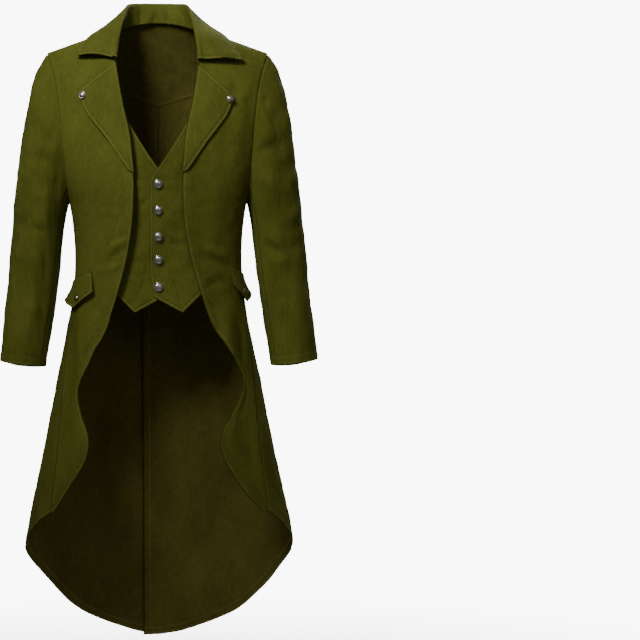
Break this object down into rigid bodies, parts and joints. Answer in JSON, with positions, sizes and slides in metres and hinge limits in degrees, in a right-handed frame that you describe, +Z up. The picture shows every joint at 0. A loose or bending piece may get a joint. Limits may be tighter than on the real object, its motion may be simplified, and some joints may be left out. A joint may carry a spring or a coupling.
{
  "type": "tailcoat",
  "caption": "Swallow-tail coat with turned-down collar, pointed lapels, attached waistcoat fronts, pocket flaps, half belt and back vent, hollow as worn.",
  "frame": {"origin": "midway between the two side neck points, level with them, where the wearer's shoulders hold the coat up", "axes": "+X towards the wearer's left, +Y towards the wearer's back, +Z up"},
  "size_m": [0.636, 0.2903, 1.3073],
  "materials": {
    "coat_twill": "soft cotton twill, matt",
    "pressed_twill": "doubled twill, pressed and edge-stitched",
    "pewter": "polished domed metal"
  },
  "bodies": {
    "root": {"back_yoke": "coat_twill", "back_left": "coat_twill", "back_right": "coat_twill", "front_left": "coat_twill", "front_right": "coat_twill", "sleeve_left_top": "coat_twill", "sleeve_left_under": "coat_twill", "sleeve_right_top": "coat_twill", "sleeve_right_under": "coat_twill", "vest_left": "coat_twill", "vest_right": "coat_twill", "collar": "pressed_twill", "lapel_left": "pressed_twill", "lapel_right": "pressed_twill", "pocket_flap_left": "pressed_twill", "pocket_flap_right": "pressed_twill", "cuff_placket_left": "pressed_twill", "cuff_placket_right": "pressed_twill", "back_belt": "pressed_twill", "vest_button_1": "pewter", "vest_button_2": "pewter", "vest_button_3": "pewter", "vest_button_4": "pewter", "vest_button_5": "pewter", "lapel_stud_left": "pewter", "lapel_stud_right": "pewter", "flap_button_left": "pewter", "flap_button_right": "pewter", "belt_button_left": "pewter", "belt_button_right": "pewter", "cuff_button_left_1": "pewter", "cuff_button_left_2": "pewter", "cuff_button_left_3": "pewter", "cuff_button_right_1": "pewter", "cuff_button_right_2": "pewter", "cuff_button_right_3": "pewter"}
  },
  "joints": []
}
